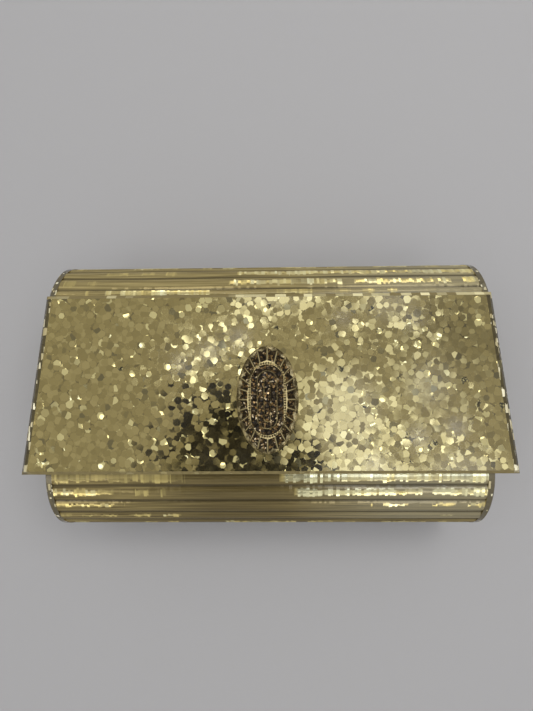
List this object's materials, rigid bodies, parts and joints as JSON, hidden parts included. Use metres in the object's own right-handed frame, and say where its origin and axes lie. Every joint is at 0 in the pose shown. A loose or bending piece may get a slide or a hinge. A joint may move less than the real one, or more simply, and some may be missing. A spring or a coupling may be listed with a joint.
{
  "type": "box clutch bag",
  "caption": "Rigid box clutch bag in gold-flake acrylic, with a reeded rounded top and bottom and a hinged lid whose flared flap carries an oval ornament and closes by magnets.",
  "frame": {"origin": "middle of the whole part's box, on the surface that its back panel lies on", "axes": "+X along the width, +Y towards the hinged top of the bag, +Z out of the front flap"},
  "size_m": [0.216, 0.1266, 0.0733],
  "materials": {
    "flake_acrylic": "clear polished acrylic over chunky gold flakes",
    "hinge_brass": "polished, gold plated",
    "magnet_nickel": "nickel plated",
    "antique_brass": "cast, dark patina with rubbed high spots",
    "smoky_stone": "faceted smoky brown stones",
    "screw_steel": "plain"
  },
  "bodies": {
    "body": {"back_panel": "flake_acrylic", "front_panel": "flake_acrylic", "bottom_rail": "flake_acrylic", "rear_rail": "flake_acrylic", "left_end_panel": "flake_acrylic", "right_end_panel": "flake_acrylic", "left_hinge_body_leaf": "hinge_brass", "right_hinge_body_leaf": "hinge_brass", "left_hinge_pin": "hinge_brass", "right_hinge_pin": "hinge_brass", "hinge_body_rivets": "hinge_brass", "body_magnets": "magnet_nickel"},
    "lid": {"lid_rail": "flake_acrylic", "flap_panel": "flake_acrylic", "left_lid_cheek": "flake_acrylic", "right_lid_cheek": "flake_acrylic", "left_hinge_lid_leaf": "hinge_brass", "right_hinge_lid_leaf": "hinge_brass", "hinge_lid_rivets": "hinge_brass", "flap_magnets": "magnet_nickel", "emblem_collar": "antique_brass", "emblem_boss": "antique_brass", "emblem_stones": "smoky_stone", "emblem_screws": "screw_steel"}
  },
  "joints": [
    {"name": "lid_hinge", "type": "hinge", "parent": "body", "child": "lid", "pos_m": [0, 0.05901, 0.016], "axis": [-1, 0, 0], "range_deg": [0, 110]}
  ]
}
